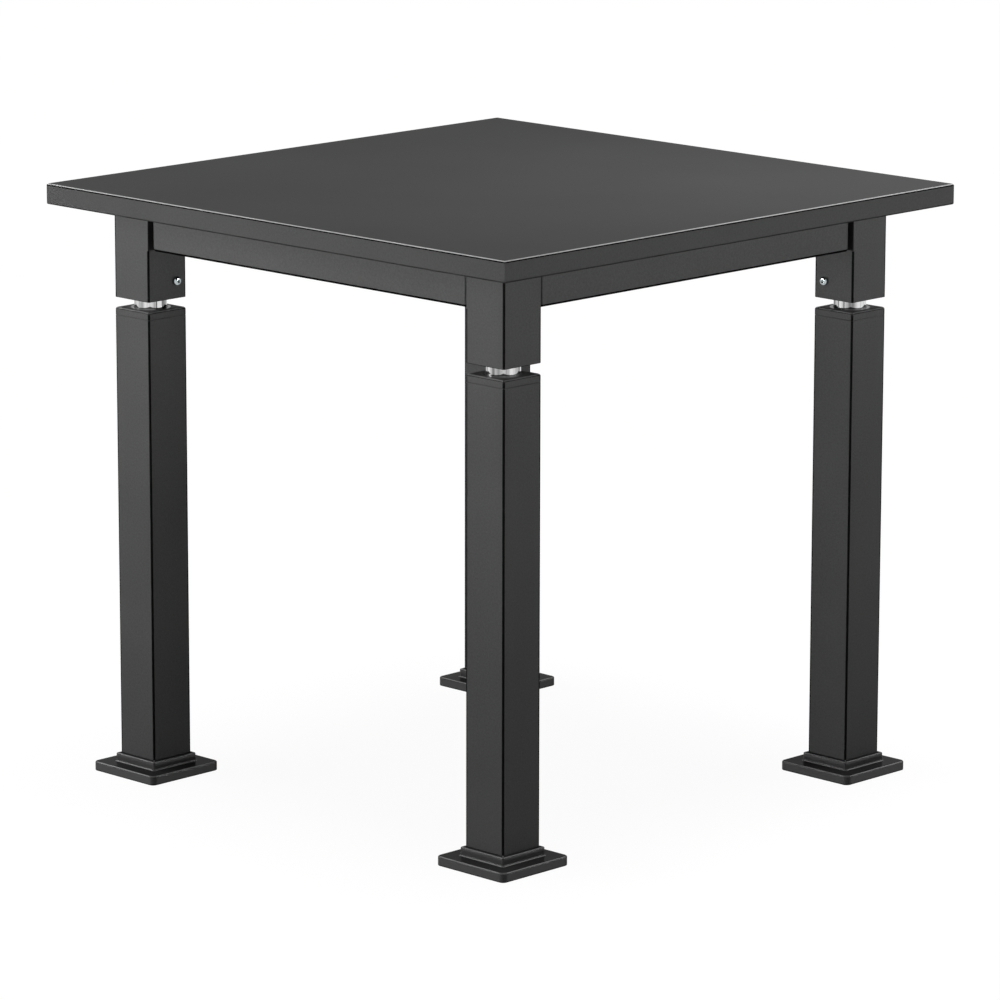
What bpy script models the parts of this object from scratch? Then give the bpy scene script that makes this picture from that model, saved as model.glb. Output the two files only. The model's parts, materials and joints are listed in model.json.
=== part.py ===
"""Height-adjustable laboratory table: a worktop and frame on four telescopic legs, at its lowest setting.

Metres, +Z up. The origin is on the floor under the middle of the worktop, and the front is at -Y.
"""

import math

import bmesh
import bpy
from mathutils import Matrix, Vector

# Worktop
WORKTOP_WIDTH = 0.770
WORKTOP_DEPTH = 0.770
WORKTOP_THICKNESS = 0.0255
WORKTOP_EDGE_RADIUS = 0.0015
TABLE_HEIGHT = 0.728
OVERHANG = 0.057

# Square steel tube of the posts and the lower legs
TUBE_SIZE = 0.060
TUBE_WALL = 0.003
TUBE_CORNER_RADIUS = 0.002
TUBE_INNER_RADIUS = 0.001

# Upper posts
POST_REACH = 0.1129
POST_PLATE = 0.005
LIFT_GAP = 0.0119

# Aprons: channels of folded sheet, open towards the middle of the table
APRON_HEIGHT = 0.0499
APRON_DEPTH = 0.025
APRON_SHEET = 0.0025
APRON_SETBACK = 0.004
APRON_END_GAP = 0.0039
APRON_EDGE_RADIUS = 0.0015
APRON_TONGUE_INSET = 0.006

# Screws that hold the column head in the post
SCREW_RISE = 0.0215
SCREW_INSET = 0.0152
SCREW_DIAMETER = 0.006
SCREW_BITE = 0.0035
SCREW_HEAD_DIAMETER = 0.0115
SCREW_HEAD_HEIGHT = 0.0040
SCREW_HEAD_RIM = 0.0008
SCREW_SOCKET_FLATS = 0.004
SCREW_SOCKET_DEPTH = 0.002

# Inner tube, its head block and its glide ring
INNER_TUBE_DIAMETER = 0.040
INNER_TUBE_WALL = 0.002
INNER_TUBE_FLOOR_GAP = 0.015
HEAD_RECESS = 0.002
HEAD_HEIGHT = 0.040
HEAD_WEB = 0.010
GLIDE_HEIGHT = 0.030
GLIDE_LIP = 0.003
GLIDE_LIP_WIDTH = 0.003

# Lower leg: base plate with a spigot for the push tube, and the cap on top
LEG_BASE_PLATE = 0.006
LEG_SPIGOT_HEIGHT = 0.010
CAP_HEIGHT = 0.0094
CAP_EDGE_RADIUS = 0.003
CAP_SKIRT = 0.030

# Foot
FOOT_SIZE = 0.1095
FOOT_FLANGE = 0.0117
FOOT_SOLE = 0.005
FOOT_CORNER_RADIUS = 0.007
FOOT_EDGE_RADIUS = 0.0012
FOOT_SOCKET_HEIGHT = 0.0116
FOOT_SOCKET_WALL = 0.0045
FOOT_SOCKET_CORNER_RADIUS = 0.0035
FOOT_FILLET = 0.0018
FOOT_RIM_RADIUS = 0.003

# Lifting drive inside each leg
MOTOR_SIDE_GAP = 0.004
MOTOR_HEADROOM = 0.010
MOTOR_SOCKET_DEPTH = 0.014
SPINDLE_DIAMETER = 0.018
SPINDLE_JOURNAL_DIAMETER = 0.012
SPINDLE_COLLAR_HEIGHT = 0.008
SPINDLE_COLLAR_GAP = 0.002
SPINDLE_FLOOR_GAP = 0.129
NUT_HEADROOM = 0.008
NUT_FLANGE = 0.012
NUT_FLANGE_GAP = 0.0015
NUT_SPIGOT = 0.028
NUT_SPIGOT_WALL = 0.0013
PUSH_TUBE_WALL = 0.003

# Clearances: between pieces that seat on each other, and round what turns
FIT = 0.0003
TURNING_PLAY = 0.0004

# Points in each quarter of an outline
TUBE_STEPS = 4
COLUMN_STEPS = 6
DRIVE_STEPS = 4
SCREW_STEPS = 3
FOOT_STEPS = 4
EDGE_SEGMENTS = 2

SMOOTH_BELOW = math.radians(40)

# Heights that follow from the sizes above
WORKTOP_UNDERSIDE = TABLE_HEIGHT - WORKTOP_THICKNESS
POST_TOP = WORKTOP_UNDERSIDE - FIT
POST_BOTTOM = WORKTOP_UNDERSIDE - POST_REACH
HEAD_BOTTOM = POST_BOTTOM + HEAD_RECESS
HEAD_TOP = HEAD_BOTTOM + HEAD_HEIGHT
HEAD_SHOULDER = HEAD_TOP - HEAD_WEB
MOTOR_BOTTOM = HEAD_TOP + FIT
MOTOR_TOP = POST_TOP - POST_PLATE - MOTOR_HEADROOM
CAP_TOP = POST_BOTTOM - LIFT_GAP
CAP_SEAM = CAP_TOP - CAP_HEIGHT
LEG_TOP = CAP_SEAM - FIT
LEG_BOTTOM = FOOT_SOLE + FIT
LEG_FLOOR = LEG_BOTTOM + LEG_BASE_PLATE
LEG_SPIGOT_TOP = LEG_FLOOR + LEG_SPIGOT_HEIGHT
INNER_TUBE_TOP = HEAD_SHOULDER - FIT
INNER_TUBE_BOTTOM = LEG_SPIGOT_TOP + INNER_TUBE_FLOOR_GAP
COLLAR_TOP = HEAD_SHOULDER - FIT
COLLAR_BOTTOM = COLLAR_TOP - SPINDLE_COLLAR_HEIGHT
NUT_TOP = COLLAR_BOTTOM - NUT_HEADROOM
NUT_SEAT = NUT_TOP - NUT_FLANGE
NUT_BOTTOM = NUT_SEAT - NUT_SPIGOT
SPINDLE_BOTTOM = LEG_SPIGOT_TOP + SPINDLE_FLOOR_GAP
FOOT_SOCKET_TOP = FOOT_FLANGE + FOOT_SOCKET_HEIGHT

# Half widths and radii that fit one another
TUBE_HALF = TUBE_SIZE / 2
TUBE_BORE_HALF = TUBE_HALF - TUBE_WALL
PLUG_HALF = TUBE_BORE_HALF - FIT
INNER_TUBE_RADIUS = INNER_TUBE_DIAMETER / 2
INNER_TUBE_BORE_RADIUS = INNER_TUBE_RADIUS - INNER_TUBE_WALL
COLUMN_BORE_RADIUS = INNER_TUBE_RADIUS + FIT
MOTOR_RADIUS = TUBE_BORE_HALF - MOTOR_SIDE_GAP
JOURNAL_RADIUS = SPINDLE_JOURNAL_DIAMETER / 2
JOURNAL_BORE_RADIUS = JOURNAL_RADIUS + TURNING_PLAY
SPINDLE_RADIUS = SPINDLE_DIAMETER / 2
SPINDLE_COLLAR_RADIUS = INNER_TUBE_BORE_RADIUS - SPINDLE_COLLAR_GAP
NUT_BORE_RADIUS = SPINDLE_RADIUS + TURNING_PLAY
NUT_FLANGE_RADIUS = INNER_TUBE_BORE_RADIUS - NUT_FLANGE_GAP
SPIGOT_RADIUS = NUT_BORE_RADIUS + NUT_SPIGOT_WALL
PUSH_TUBE_BORE_RADIUS = SPIGOT_RADIUS + FIT
PUSH_TUBE_RADIUS = PUSH_TUBE_BORE_RADIUS + PUSH_TUBE_WALL
SCREW_RADIUS = SCREW_DIAMETER / 2
SCREW_HOLE_RADIUS = SCREW_RADIUS + FIT

# Where the leg axes stand
LEG_X = WORKTOP_WIDTH / 2 - OVERHANG - TUBE_HALF
LEG_Y = WORKTOP_DEPTH / 2 - OVERHANG - TUBE_HALF

# Each corner's own X and Y axes point at the middle of the table
CORNERS = {
    "front_left": (-LEG_X, -LEG_Y, 0),
    "front_right": (LEG_X, -LEG_Y, 1),
    "back_right": (LEG_X, LEG_Y, 2),
    "back_left": (-LEG_X, LEG_Y, 3),
}

# Colour, roughness and metallic value of each finish
FINISHES = {
    "graphite_powder_coat": ((0.060, 0.060, 0.062), 0.55, 0.0),
    "dark_resin_slab": ((0.065, 0.065, 0.066), 0.45, 0.0),
    "black_moulded_plastic": ((0.022, 0.022, 0.023), 0.18, 0.0),
    "chrome_plate": ((0.78, 0.78, 0.80), 0.08, 1.0),
    "zinc_plated_steel": ((0.62, 0.63, 0.65), 0.28, 1.0),
    "cast_aluminium": ((0.50, 0.51, 0.52), 0.42, 1.0),
    "drawn_steel": ((0.38, 0.38, 0.39), 0.35, 1.0),
    "white_glide_plastic": ((0.70, 0.70, 0.67), 0.40, 0.0),
    "motor_housing": ((0.030, 0.031, 0.034), 0.45, 0.0),
}


def clear_scene():
    for item in list(bpy.data.objects):
        bpy.data.objects.remove(item, do_unlink=True)


def finish(name):
    """The material of one finish, made at its first use."""
    known = bpy.data.materials.get(name)
    if known:
        return known
    colour, roughness, metallic = FINISHES[name]
    made = bpy.data.materials.new(name)
    made.use_nodes = True
    shader = made.node_tree.nodes["Principled BSDF"]
    shader.inputs["Base Color"].default_value = (*colour, 1.0)
    shader.inputs["Roughness"].default_value = roughness
    shader.inputs["Metallic"].default_value = metallic
    return made


def square_loop(half_width, corner_radius, height, steps):
    """Points round a square with rounded corners, at one height."""
    centre = half_width - corner_radius
    points = []
    for quarter in range(4):
        turn = Matrix.Rotation(quarter * math.pi / 2, 3, "Z")
        for step in range(steps):
            angle = step / (steps - 1) * math.pi / 2
            x = centre + corner_radius * math.cos(angle)
            y = centre + corner_radius * math.sin(angle)
            points.append(turn @ Vector((x, y, height)))
    return points


def round_loop(radius, height, steps):
    """Points round a circle, as many as a square loop has."""
    count = 4 * steps
    angles = [(index + 0.5) * math.tau / count for index in range(count)]
    return [Vector((radius * math.cos(a), radius * math.sin(a), height)) for a in angles]


def hexagon_loop(flats, height, steps):
    """Points round a hexagon, as many as a square loop has."""
    side = math.pi / 3
    points = []
    for point in round_loop(1.0, height, steps):
        angle = math.atan2(point.y, point.x)
        off_middle = (angle + side / 2) % side - side / 2
        radius = flats / 2 / math.cos(off_middle)
        points.append(Vector((radius * math.cos(angle), radius * math.sin(angle), height)))
    return points


def rounded_edge(half_width, corner_radius, height, radius, steps, concave=False):
    """Square loops down a rounded edge from a level face to an upright one, below that height."""
    loops = []
    for index in range(EDGE_SEGMENTS + 1):
        angle = index / EDGE_SEGMENTS * math.pi / 2
        if concave:
            outward = radius * (1 - math.cos(angle))
            drop = radius * math.sin(angle)
        else:
            outward = radius * (math.sin(angle) - 1)
            drop = radius * (1 - math.cos(angle))
        corner = max(corner_radius + outward, FIT)
        loops.append(square_loop(half_width + outward, corner, height - drop, steps))
    return loops


def loft(name, loops, ring=False):
    """A closed body through loops of points: a ring joins the last to the first, otherwise both ends are filled."""
    bm = bmesh.new()
    rows = [[bm.verts.new(point) for point in loop] for loop in loops]
    if ring:
        rows.append(rows[0])
    else:
        bm.faces.new(rows[0])
        bm.faces.new(rows[-1])
    for row, next_row in zip(rows, rows[1:]):
        for index, corner in enumerate(row):
            bm.faces.new((row[index - 1], corner, next_row[index], next_row[index - 1]))
    return finished_mesh(name, bm)


def finished_mesh(name, bm):
    """The mesh of a closed body: faces outward, smooth where its edges are shallow."""
    bmesh.ops.recalc_face_normals(bm, faces=bm.faces)
    mesh = bpy.data.meshes.new(name)
    bm.to_mesh(mesh)
    bm.free()
    mesh.shade_smooth()
    mesh.set_sharp_from_angle(angle=SMOOTH_BELOW)
    return mesh


def drilled(mesh, holes):
    """A copy of the mesh with round holes: each hole is a place, a direction, a radius and a depth."""
    body = bpy.data.objects.new("drilled_body", mesh)
    bpy.context.collection.objects.link(body)
    drills = []
    for place, direction, radius, depth in holes:
        loops = [round_loop(radius, -depth, SCREW_STEPS), round_loop(radius, depth, SCREW_STEPS)]
        drill = bpy.data.objects.new("drill", loft("drill", loops))
        drill.hide_render = True
        drill.display_type = "WIRE"
        drill.rotation_euler = Vector(direction).to_track_quat("Z", "Y").to_euler()
        drill.location = place
        bpy.context.collection.objects.link(drill)
        cut = body.modifiers.new("hole", "BOOLEAN")
        cut.operation = "DIFFERENCE"
        cut.solver = "EXACT"
        cut.object = drill
        drills.append(drill)
    bpy.context.view_layer.update()
    result = bpy.data.meshes.new_from_object(body.evaluated_get(bpy.context.evaluated_depsgraph_get()))
    for item in [body, *drills]:
        bpy.data.objects.remove(item, do_unlink=True)
    result.name = mesh.name
    return result


def place(name, mesh, material, parent=None, location=(0, 0, 0), rotation=(0, 0, 0)):
    """One named piece, in its finish, under its parent."""
    piece = bpy.data.objects.new(name, mesh)
    bpy.context.collection.objects.link(piece)
    if not mesh.materials:
        mesh.materials.append(finish(material))
    piece.parent = parent
    piece.location = location
    piece.rotation_euler = rotation
    return piece


def axis_empty(name, location, turn):
    """An empty that stands on a leg's axis, at floor level."""
    empty = bpy.data.objects.new(name, None)
    empty.location = location
    empty.rotation_euler = (0, 0, turn)
    bpy.context.collection.objects.link(empty)
    return empty


def slab(width, depth, height):
    """A box about its own middle."""
    bm = bmesh.new()
    bmesh.ops.create_cube(bm, size=1.0)
    bmesh.ops.scale(bm, verts=bm.verts, vec=(width, depth, height))
    return bm


def is_level(edge):
    return abs(edge.verts[0].co.z - edge.verts[1].co.z) < FIT


def round_off(bm, edges, radius):
    bmesh.ops.bevel(bm, geom=edges, offset=radius, segments=EDGE_SEGMENTS, profile=0.5, affect="EDGES")


def worktop_mesh():
    """A plain slab with sharp upright corners and rounded top and bottom edges."""
    bm = slab(WORKTOP_WIDTH, WORKTOP_DEPTH, WORKTOP_THICKNESS)
    round_off(bm, [edge for edge in bm.edges if is_level(edge)], WORKTOP_EDGE_RADIUS)
    return finished_mesh("worktop", bm)


def apron_mesh(name, span):
    """A channel between two posts, its back at +Y open, with a tongue at each end that reaches the post."""
    length = span - 2 * APRON_END_GAP
    bm = slab(length, APRON_DEPTH, APRON_HEIGHT)
    ends = [face for face in bm.faces if abs(face.normal.x) > 0.5]
    back = [face for face in bm.faces if face.normal.y > 0.5]
    front_edges = [edge for edge in bm.edges if min(corner.co.y for corner in edge.verts) < 0]
    bmesh.ops.inset_individual(bm, faces=ends, thickness=APRON_TONGUE_INSET)
    for end in ends:
        pushed = bmesh.ops.extrude_discrete_faces(bm, faces=[end])["faces"][0]
        outward = math.copysign(APRON_END_GAP - FIT, pushed.calc_center_median().x)
        bmesh.ops.translate(bm, verts=pushed.verts, vec=(outward, 0, 0))
    bmesh.ops.inset_individual(bm, faces=back, thickness=APRON_SHEET)
    pocket = bmesh.ops.extrude_discrete_faces(bm, faces=back)["faces"][0]
    bmesh.ops.translate(bm, verts=pocket.verts, vec=(0, APRON_SHEET - APRON_DEPTH, 0))
    round_off(bm, front_edges, APRON_EDGE_RADIUS)
    return finished_mesh(name, bm)


def post_mesh():
    """Square tube with a plate welded in its top, drilled on its two inner faces."""
    loops = [
        square_loop(TUBE_HALF, TUBE_CORNER_RADIUS, POST_TOP, TUBE_STEPS),
        square_loop(TUBE_HALF, TUBE_CORNER_RADIUS, POST_BOTTOM, TUBE_STEPS),
        square_loop(TUBE_BORE_HALF, TUBE_INNER_RADIUS, POST_BOTTOM, TUBE_STEPS),
        square_loop(TUBE_BORE_HALF, TUBE_INNER_RADIUS, POST_TOP - POST_PLATE, TUBE_STEPS),
    ]
    return drilled(loft("upper_post", loops), screw_holes(TUBE_HALF, 2 * TUBE_WALL))


def screw_holes(face, depth):
    """The two holes of a post's screws, from a face that far from the leg's axis."""
    across = TUBE_HALF - SCREW_INSET
    height = POST_BOTTOM + SCREW_RISE
    return [
        ((face, across, height), (1, 0, 0), SCREW_HOLE_RADIUS, depth),
        ((across, face, height), (0, 1, 0), SCREW_HOLE_RADIUS, depth),
    ]


def head_mesh():
    """Square block with a bore for the inner tube, a web above it and two screw holes."""
    steps = COLUMN_STEPS
    loops = [
        round_loop(COLUMN_BORE_RADIUS, HEAD_BOTTOM, steps),
        round_loop(COLUMN_BORE_RADIUS, HEAD_SHOULDER, steps),
        round_loop(JOURNAL_BORE_RADIUS, HEAD_SHOULDER, steps),
        round_loop(JOURNAL_BORE_RADIUS, HEAD_TOP, steps),
        square_loop(PLUG_HALF, TUBE_INNER_RADIUS, HEAD_TOP, steps),
        square_loop(PLUG_HALF, TUBE_INNER_RADIUS, HEAD_BOTTOM, steps),
    ]
    return drilled(loft("column_head", loops, ring=True), screw_holes(PLUG_HALF, SCREW_BITE + FIT))


def screw_mesh():
    """Domed head with a hexagon socket, and a plain shank; the head's underside is at zero, the shank below it."""
    steps = SCREW_STEPS
    head_radius = SCREW_HEAD_DIAMETER / 2
    crown_radius = SCREW_SOCKET_FLATS / math.sqrt(3) + SCREW_HEAD_RIM / 2
    shoulder_radius = (head_radius + crown_radius) / 2
    shoulder_height = SCREW_HEAD_RIM + (SCREW_HEAD_HEIGHT - SCREW_HEAD_RIM) * math.sin(math.pi / 3)
    shank = TUBE_WALL + 2 * FIT + SCREW_BITE
    loops = [
        hexagon_loop(SCREW_SOCKET_FLATS, SCREW_HEAD_HEIGHT - SCREW_SOCKET_DEPTH, steps),
        hexagon_loop(SCREW_SOCKET_FLATS, SCREW_HEAD_HEIGHT, steps),
        round_loop(crown_radius, SCREW_HEAD_HEIGHT, steps),
        round_loop(shoulder_radius, shoulder_height, steps),
        round_loop(head_radius, SCREW_HEAD_RIM, steps),
        round_loop(head_radius, 0, steps),
        round_loop(SCREW_RADIUS, 0, steps),
        round_loop(SCREW_RADIUS, -shank, steps),
    ]
    return loft("post_screw", loops)


def inner_tube_mesh():
    """Round tube from the column head down into the lower leg."""
    steps = COLUMN_STEPS
    loops = [
        round_loop(INNER_TUBE_RADIUS, INNER_TUBE_TOP, steps),
        round_loop(INNER_TUBE_RADIUS, INNER_TUBE_BOTTOM, steps),
        round_loop(INNER_TUBE_BORE_RADIUS, INNER_TUBE_BOTTOM, steps),
        round_loop(INNER_TUBE_BORE_RADIUS, INNER_TUBE_TOP, steps),
    ]
    return loft("inner_tube", loops, ring=True)


def glide_mesh():
    """Square slider round the inner tube's lower end, with a lip under the tube."""
    steps = COLUMN_STEPS
    lip_top = INNER_TUBE_BOTTOM - FIT
    lip_bottom = lip_top - GLIDE_LIP
    lip_radius = INNER_TUBE_RADIUS - GLIDE_LIP_WIDTH
    glide_top = INNER_TUBE_BOTTOM + GLIDE_HEIGHT
    loops = [
        round_loop(lip_radius, lip_bottom, steps),
        round_loop(lip_radius, lip_top, steps),
        round_loop(COLUMN_BORE_RADIUS, lip_top, steps),
        round_loop(COLUMN_BORE_RADIUS, glide_top, steps),
        square_loop(PLUG_HALF, TUBE_INNER_RADIUS, glide_top, steps),
        square_loop(PLUG_HALF, TUBE_INNER_RADIUS, lip_bottom, steps),
    ]
    return loft("glide_ring", loops, ring=True)


def motor_mesh():
    """Short gear motor that stands on the column head, with a socket for the spindle in its underside."""
    steps = DRIVE_STEPS
    loops = [
        round_loop(JOURNAL_BORE_RADIUS, MOTOR_BOTTOM + MOTOR_SOCKET_DEPTH, steps),
        round_loop(JOURNAL_BORE_RADIUS, MOTOR_BOTTOM, steps),
        round_loop(MOTOR_RADIUS, MOTOR_BOTTOM, steps),
        round_loop(MOTOR_RADIUS, MOTOR_TOP, steps),
    ]
    return loft("drive_motor", loops)


def spindle_mesh():
    """Lifting screw: a journal in the motor, a collar under the column head, and the threaded length."""
    steps = DRIVE_STEPS
    loops = [
        round_loop(JOURNAL_RADIUS, MOTOR_BOTTOM + MOTOR_SOCKET_DEPTH - FIT, steps),
        round_loop(JOURNAL_RADIUS, COLLAR_TOP, steps),
        round_loop(SPINDLE_COLLAR_RADIUS, COLLAR_TOP, steps),
        round_loop(SPINDLE_COLLAR_RADIUS, COLLAR_BOTTOM, steps),
        round_loop(SPINDLE_RADIUS, COLLAR_BOTTOM, steps),
        round_loop(SPINDLE_RADIUS, SPINDLE_BOTTOM, steps),
    ]
    return loft("spindle", loops)


def nut_mesh():
    """Flanged nut that stands on the push tube, its spigot inside the tube."""
    steps = DRIVE_STEPS
    loops = [
        round_loop(NUT_BORE_RADIUS, NUT_TOP, steps),
        round_loop(NUT_FLANGE_RADIUS, NUT_TOP, steps),
        round_loop(NUT_FLANGE_RADIUS, NUT_SEAT, steps),
        round_loop(SPIGOT_RADIUS, NUT_SEAT, steps),
        round_loop(SPIGOT_RADIUS, NUT_BOTTOM, steps),
        round_loop(NUT_BORE_RADIUS, NUT_BOTTOM, steps),
    ]
    return loft("spindle_nut", loops, ring=True)


def push_tube_mesh():
    """Round tube that stands on the leg's base plate and carries the nut."""
    steps = DRIVE_STEPS
    top = NUT_SEAT - FIT
    bottom = LEG_FLOOR + FIT
    loops = [
        round_loop(PUSH_TUBE_RADIUS, top, steps),
        round_loop(PUSH_TUBE_RADIUS, bottom, steps),
        round_loop(PUSH_TUBE_BORE_RADIUS, bottom, steps),
        round_loop(PUSH_TUBE_BORE_RADIUS, top, steps),
    ]
    return loft("push_tube", loops, ring=True)


def leg_mesh():
    """Square tube with a base plate and spigot welded in its lower end."""
    steps = TUBE_STEPS
    loops = [
        round_loop(SPIGOT_RADIUS, LEG_SPIGOT_TOP, steps),
        round_loop(SPIGOT_RADIUS, LEG_FLOOR, steps),
        square_loop(TUBE_BORE_HALF, TUBE_INNER_RADIUS, LEG_FLOOR, steps),
        square_loop(TUBE_BORE_HALF, TUBE_INNER_RADIUS, LEG_TOP, steps),
        square_loop(TUBE_HALF, TUBE_CORNER_RADIUS, LEG_TOP, steps),
        square_loop(TUBE_HALF, TUBE_CORNER_RADIUS, LEG_BOTTOM, steps),
    ]
    return loft("lower_leg", loops)


def cap_mesh():
    """Cap on the leg's top, its edges rounded, with a skirt in the tube and a bore that guides the inner tube."""
    steps = COLUMN_STEPS
    skirt_bottom = CAP_SEAM - CAP_SKIRT
    loops = [
        round_loop(COLUMN_BORE_RADIUS, skirt_bottom, steps),
        round_loop(COLUMN_BORE_RADIUS, CAP_TOP, steps),
        *rounded_edge(TUBE_HALF, TUBE_CORNER_RADIUS, CAP_TOP, CAP_EDGE_RADIUS, steps),
        square_loop(TUBE_HALF, TUBE_CORNER_RADIUS, CAP_SEAM, steps),
        square_loop(PLUG_HALF, TUBE_INNER_RADIUS, CAP_SEAM, steps),
        square_loop(PLUG_HALF, TUBE_INNER_RADIUS, skirt_bottom, steps),
    ]
    return loft("leg_cap", loops, ring=True)


def foot_mesh():
    """Square flange with a socket for the leg: a fillet at the socket's base and rounded outer edges."""
    steps = FOOT_STEPS
    pocket_half = TUBE_HALF + FIT
    pocket_corner = TUBE_CORNER_RADIUS + FIT
    socket_half = pocket_half + FOOT_SOCKET_WALL
    fillet_top = FOOT_FLANGE + FOOT_FILLET
    flange_half = FOOT_SIZE / 2
    loops = [
        square_loop(pocket_half, pocket_corner, FOOT_SOLE, steps),
        square_loop(pocket_half, pocket_corner, FOOT_SOCKET_TOP, steps),
        *rounded_edge(socket_half, FOOT_SOCKET_CORNER_RADIUS, FOOT_SOCKET_TOP, FOOT_RIM_RADIUS, steps),
        *rounded_edge(socket_half, FOOT_SOCKET_CORNER_RADIUS, fillet_top, FOOT_FILLET, steps, concave=True),
        *rounded_edge(flange_half, FOOT_CORNER_RADIUS, FOOT_FLANGE, FOOT_EDGE_RADIUS, steps),
        square_loop(flange_half, FOOT_CORNER_RADIUS, FOOT_EDGE_RADIUS, steps),
        square_loop(flange_half - FOOT_EDGE_RADIUS, FOOT_CORNER_RADIUS - FOOT_EDGE_RADIUS, 0, steps),
    ]
    return loft("foot", loops)


def add_worktop_and_aprons():
    middle = TABLE_HEIGHT - WORKTOP_THICKNESS / 2
    place("worktop", worktop_mesh(), "dark_resin_slab", location=(0, 0, middle))
    height = WORKTOP_UNDERSIDE - FIT - APRON_HEIGHT / 2
    inward = TUBE_HALF - APRON_SETBACK - APRON_DEPTH / 2
    across = apron_mesh("apron_across", 2 * (LEG_X - TUBE_HALF))
    along = apron_mesh("apron_along", 2 * (LEG_Y - TUBE_HALF))
    runs = {
        "apron_front": (across, (0, -LEG_Y - inward, height), 0),
        "apron_right": (along, (LEG_X + inward, 0, height), 1),
        "apron_back": (across, (0, LEG_Y + inward, height), 2),
        "apron_left": (along, (-LEG_X - inward, 0, height), 3),
    }
    for name, (mesh, location, quarter) in runs.items():
        place(name, mesh, "graphite_powder_coat", location=location, rotation=(0, 0, quarter * math.pi / 2))


def add_corners():
    """The pieces of the four legs, each set under an empty on its leg's axis."""
    pieces = {
        "upper_post": (post_mesh(), "graphite_powder_coat"),
        "column_head": (head_mesh(), "cast_aluminium"),
        "inner_tube": (inner_tube_mesh(), "chrome_plate"),
        "glide_ring": (glide_mesh(), "white_glide_plastic"),
        "drive_motor": (motor_mesh(), "motor_housing"),
        "spindle": (spindle_mesh(), "drawn_steel"),
        "spindle_nut": (nut_mesh(), "white_glide_plastic"),
        "push_tube": (push_tube_mesh(), "drawn_steel"),
        "lower_leg": (leg_mesh(), "graphite_powder_coat"),
        "leg_cap": (cap_mesh(), "black_moulded_plastic"),
        "foot": (foot_mesh(), "black_moulded_plastic"),
    }
    screw = screw_mesh()
    face = TUBE_HALF + FIT
    across = TUBE_HALF - SCREW_INSET
    height = POST_BOTTOM + SCREW_RISE
    for corner, (x, y, quarter) in CORNERS.items():
        axis = axis_empty(f"leg_axis_{corner}", (x, y, 0), quarter * math.pi / 2)
        for name, (mesh, material) in pieces.items():
            place(f"{name}_{corner}", mesh, material, axis)
        turned_x = (0, math.pi / 2, 0)
        turned_y = (-math.pi / 2, 0, 0)
        place(f"post_screw_1_{corner}", screw, "zinc_plated_steel", axis, (face, across, height), turned_x)
        place(f"post_screw_2_{corner}", screw, "zinc_plated_steel", axis, (across, face, height), turned_y)


def main():
    clear_scene()
    add_worktop_and_aprons()
    add_corners()


if __name__ == "__main__":
    main()
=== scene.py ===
"""The finished look of a height-adjustable laboratory table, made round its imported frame.

Metres, +Z up. The floor is at zero, the front is at -Y, and every size that isn't set here is read
from the frame.
"""

import functools
import json
import math
import typing

import bmesh
import bpy
from mathutils import Matrix, Quaternion, Vector

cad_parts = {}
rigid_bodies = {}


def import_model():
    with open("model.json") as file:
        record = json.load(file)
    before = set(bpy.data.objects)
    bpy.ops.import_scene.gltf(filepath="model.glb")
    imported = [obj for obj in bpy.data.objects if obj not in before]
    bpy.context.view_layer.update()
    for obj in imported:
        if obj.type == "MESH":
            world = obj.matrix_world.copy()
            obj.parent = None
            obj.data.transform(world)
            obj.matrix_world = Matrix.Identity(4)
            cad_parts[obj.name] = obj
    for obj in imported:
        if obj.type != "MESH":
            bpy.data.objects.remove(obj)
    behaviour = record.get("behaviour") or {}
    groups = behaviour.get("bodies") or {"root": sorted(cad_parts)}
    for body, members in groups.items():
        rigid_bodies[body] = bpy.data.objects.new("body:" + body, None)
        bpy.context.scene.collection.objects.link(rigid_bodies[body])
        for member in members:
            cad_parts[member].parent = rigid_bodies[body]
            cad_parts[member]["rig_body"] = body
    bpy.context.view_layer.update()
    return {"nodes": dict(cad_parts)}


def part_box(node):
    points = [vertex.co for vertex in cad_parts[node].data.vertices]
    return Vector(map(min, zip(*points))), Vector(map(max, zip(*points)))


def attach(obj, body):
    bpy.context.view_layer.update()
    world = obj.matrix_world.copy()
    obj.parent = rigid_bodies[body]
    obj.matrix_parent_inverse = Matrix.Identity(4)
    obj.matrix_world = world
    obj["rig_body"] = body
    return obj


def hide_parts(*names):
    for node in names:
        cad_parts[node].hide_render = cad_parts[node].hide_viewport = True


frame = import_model()

bl_info = {
    "name": "Lifting Laboratory Table",
    "version": (1, 0, 0),
    "blender": (4, 5, 0),
    "location": "3D View > Sidebar > Table",
    "description": "Makes the finished pieces of a height-adjustable laboratory table and its studio",
    "category": "Add Mesh",
}

# Each corner's own X and Y axes point at the middle of the table, after these quarter turns
CORNERS = {"front_left": 0, "front_right": 1, "back_right": 2, "back_left": 3}
SIDES = {"front": 0, "right": 1, "back": 2, "left": 3}
MODEL_CORNER = "front_left"

# Points in each quarter of an outline, of which a strip beside each end of the arc takes one,
# and steps down a rounded edge
TUBE_STEPS = 8
COLUMN_STEPS = 24
FOOT_STEPS = 12
SCREW_STEPS = 12
STRIP_POINTS = 2
EDGE_STEPS = 6

QUARTER = math.pi / 2
WELD = 1e-6

# Edges are smooth up to this angle, and large faces count most in their shading
SMOOTH_BELOW = math.radians(35)
FACE_WEIGHT = 100

# A normal's share along an axis from which a face counts as square to it, or as turned towards it
LEVEL = 0.999
FACING = 0.5


# Settings that a user may change

def linear(hex_colour):
    """The linear colour of an sRGB hex value."""
    shares = [int(hex_colour[start : start + 2], 16) / 255 for start in (1, 3, 5)]
    return tuple(s / 12.92 if s <= 0.04045 else ((s + 0.055) / 1.055) ** 2.4 for s in shares)


def length(title, about, default):
    """A size that a user may change."""
    return bpy.props.FloatProperty(
        name=title,
        description=about,
        default=default,
        min=0.0,
        precision=5,
        subtype="DISTANCE",
        unit="LENGTH",
    )


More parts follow.
